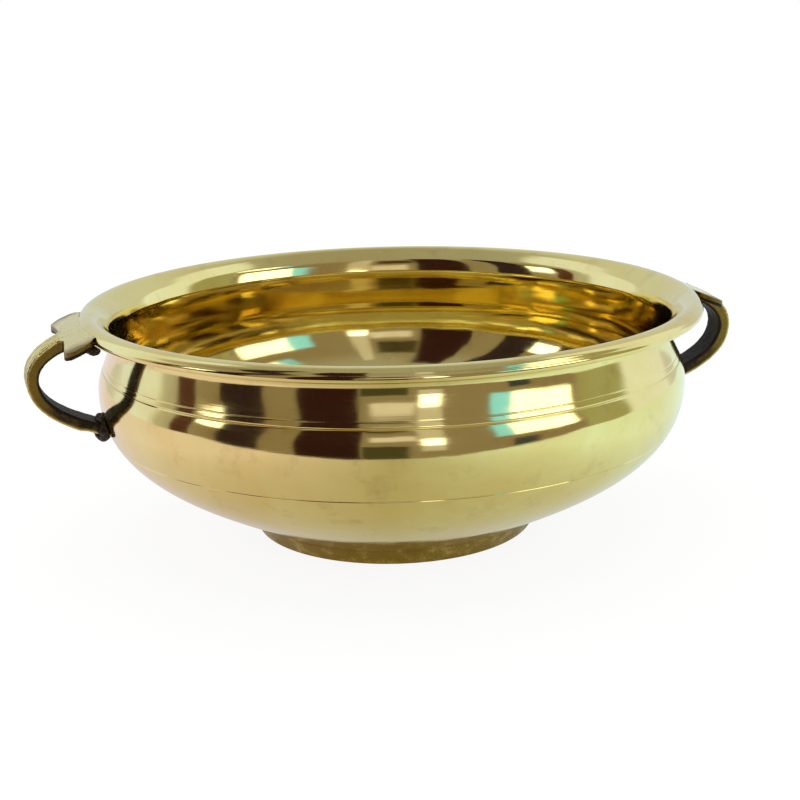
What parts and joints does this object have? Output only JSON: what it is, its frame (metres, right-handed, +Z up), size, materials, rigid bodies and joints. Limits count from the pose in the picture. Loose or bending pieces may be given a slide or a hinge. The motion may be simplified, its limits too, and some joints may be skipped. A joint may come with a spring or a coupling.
{
  "type": "urli bowl",
  "caption": "Round shallow brass bowl with a rolled flared lip, full shoulder, low foot ring and a strap handle with a lobed crest on each side.",
  "frame": {"origin": "on the table under the middle of the bowl", "axes": "+Z up, +X towards the right handle, -Y towards the side the handles are set towards"},
  "size_m": [0.3576, 0.305, 0.115],
  "materials": {
    "polished_brass": "turned and polished",
    "cast_brass": "as cast, rubbed bright on the high spots",
    "brazing_brass": "dark, rough brazing metal"
  },
  "bodies": {
    "root": {"bowl": "polished_brass", "foot_ring": "polished_brass", "foot_braze": "brazing_brass", "right_handle": "cast_brass", "right_upper_braze": "brazing_brass", "right_lower_braze": "brazing_brass", "left_handle": "cast_brass", "left_upper_braze": "brazing_brass", "left_lower_braze": "brazing_brass"}
  },
  "joints": []
}
